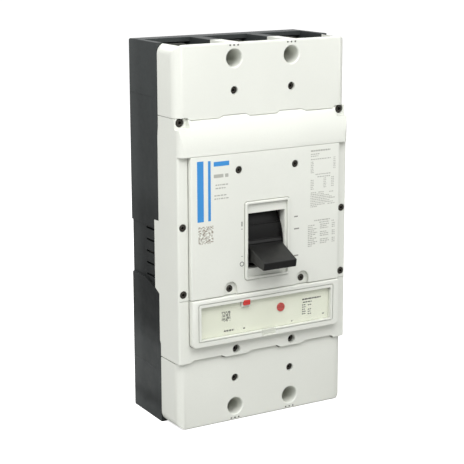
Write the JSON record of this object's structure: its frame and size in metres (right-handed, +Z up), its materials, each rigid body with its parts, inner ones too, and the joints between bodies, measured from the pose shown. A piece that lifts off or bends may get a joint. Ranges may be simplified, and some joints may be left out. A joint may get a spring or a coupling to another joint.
{
  "type": "molded case circuit breaker",
  "caption": "Large three-pole molded case circuit breaker with toggle handle, raised front panel, trip unit window, terminal pockets at both ends and rear mounting face.",
  "frame": {"origin": "centre of the rear mounting face at mid height", "axes": "+X to the right seen from the front, -Y out of the front face (the handle side), +Z up towards the line terminals"},
  "size_m": [0.2096, 0.1432, 0.4064],
  "materials": {
    "base_black": "moulded glass-filled thermoset, semi-matt",
    "cover_light": "moulded light grey thermoset, fine texture",
    "label_cream": "printed cream plate",
    "clear_window": "clear polycarbonate",
    "screw_black": "blackened steel",
    "handle_black": "dark grey moulded nylon",
    "red_plastic": "red moulded plastic",
    "steel_plate": "zinc plated sheet",
    "steel_pin": "ground steel",
    "spring_steel": "oiled spring wire",
    "inner_plastic": "dark moulded thermoset",
    "copper": "bare copper bar",
    "copper_braid": "woven copper braid",
    "silver_contact": "silver alloy tip",
    "fibre_board": "vulcanised fibre",
    "board_green": "circuit laminate"
  },
  "bodies": {
    "breaker": {"accessory_cover": "cover_light", "accessory_cover_screws": "screw_black", "arc_chute_plates": "steel_plate", "arc_chute_side_boards": "fibre_board", "arc_vent_screens": "steel_plate", "base": "base_black", "board_screws": "steel_pin", "button_return_spring": "spring_steel", "conductor_screws": "steel_pin", "corner_screws": "screw_black", "cradle": "steel_plate", "cradle_link_pin": "steel_pin", "cradle_pivot_pins": "steel_pin", "current_transformers": "inner_plastic", "fixed_contact_tips": "silver_contact", "flexible_shunts": "copper_braid", "frame_tie_pins": "steel_pin", "handle_bezel": "cover_light", "latch_pin": "steel_pin", "line_conductors": "copper", "line_terminal_cover": "cover_light", "load_conductors": "copper", "load_terminal_cover": "cover_light", "lower_cover_screws": "screw_black", "main_cover": "cover_light", "mechanism_frame_left": "steel_plate", "mechanism_frame_right": "steel_plate", "mechanism_screws": "steel_pin", "side_screws": "screw_black", "terminal_cover_screws": "screw_black", "terminal_nuts": "steel_pin", "trip_actuator": "steel_plate", "trip_circuit_board": "board_green", "trip_label_plate": "label_cream", "trip_unit_frame": "cover_light", "trip_unit_housing": "inner_plastic", "yoke_pivot_pins": "steel_pin"},
    "handle": {"handle": "handle_black", "handle_yoke": "steel_plate", "toggle_springs": "spring_steel"},
    "handle_shutter": {"handle_shutter": "handle_black"},
    "crossbar": {"crossbar": "inner_plastic", "contact_arms": "copper", "contact_arm_pins": "steel_pin", "moving_contact_tips": "silver_contact", "contact_springs": "spring_steel", "lower_link_pins": "steel_pin"},
    "upper_links": {"upper_links": "steel_plate"},
    "lower_links": {"lower_links": "steel_plate", "toggle_pin": "steel_pin"},
    "trip_bar": {"trip_bar": "inner_plastic"},
    "latch": {"latch": "steel_plate"},
    "push_to_trip_button": {"push_to_trip_button": "red_plastic"},
    "trip_actuator_plunger": {"trip_actuator_plunger": "steel_pin"},
    "trip_dial": {"trip_dial": "red_plastic"},
    "trip_window": {"trip_window": "clear_window"}
  },
  "joints": [
    {"name": "handle_toggle", "type": "hinge", "parent": "breaker", "child": "handle", "pos_m": [0, -0.04, -0.0062], "axis": [-1, 0, 0], "range_deg": [0, 25], "deforming": ["toggle_springs"]},
    {"name": "shutter_slide", "type": "hinge", "parent": "breaker", "child": "handle_shutter", "pos_m": [0, -0.04, -0.0062], "axis": [-1, 0, 0], "range_deg": [0, 12.5]},
    {"name": "crossbar_turn", "type": "hinge", "parent": "breaker", "child": "crossbar", "pos_m": [0, -0.03, -0.024], "axis": [-1, 0, 0], "range_deg": [0, 30], "deforming": ["flexible_shunts"]},
    {"name": "upper_link_turn", "type": "hinge", "parent": "breaker", "child": "upper_links", "pos_m": [0, -0.078, 0], "axis": [1, 0, 0], "range_deg": [0, 65.3]},
    {"name": "lower_link_turn", "type": "hinge", "parent": "crossbar", "child": "lower_links", "pos_m": [0, -0.0441, -0.0071], "axis": [-1, 0, 0], "range_deg": [0, 4.85]},
    {"name": "push_to_trip", "type": "slide", "parent": "breaker", "child": "push_to_trip_button", "axis": [0, 1, 0], "range_m": [0, 0.0025], "deforming": ["button_return_spring"]},
    {"name": "trip_bar_turn", "type": "hinge", "parent": "breaker", "child": "trip_bar", "pos_m": [0, -0.084, -0.064], "axis": [1, 0, 0], "range_deg": [0, 15]},
    {"name": "latch_turn", "type": "hinge", "parent": "breaker", "child": "latch", "pos_m": [0, -0.078, -0.052], "axis": [1, 0, 0], "range_deg": [0, 10]},
    {"name": "actuator_stroke", "type": "slide", "parent": "breaker", "child": "trip_actuator_plunger", "axis": [0, 0, 1], "range_m": [0, 0.003]},
    {"name": "dial_turn", "type": "hinge", "parent": "breaker", "child": "trip_dial", "pos_m": [0.019, -0.11, -0.083], "axis": [0, -1, 0], "range_deg": [-120, 120]},
    {"name": "window_hinge", "type": "hinge", "parent": "breaker", "child": "trip_window", "pos_m": [0, -0.116, -0.0703], "axis": [-1, 0, 0], "range_deg": [0, 95]}
  ],
  "couplings": [
    {"joint": "shutter_slide", "follows": "handle_toggle", "ratio": 0.5},
    {"joint": "crossbar_turn", "follows": "handle_toggle", "ratio": 1.2},
    {"joint": "upper_link_turn", "follows": "handle_toggle", "ratio": 2.61},
    {"joint": "lower_link_turn", "follows": "handle_toggle", "ratio": 0.1936},
    {"joint": "trip_bar_turn", "follows": "push_to_trip", "rad_per_m": 104.61},
    {"joint": "latch_turn", "follows": "push_to_trip", "rad_per_m": 69.743}
  ]
}
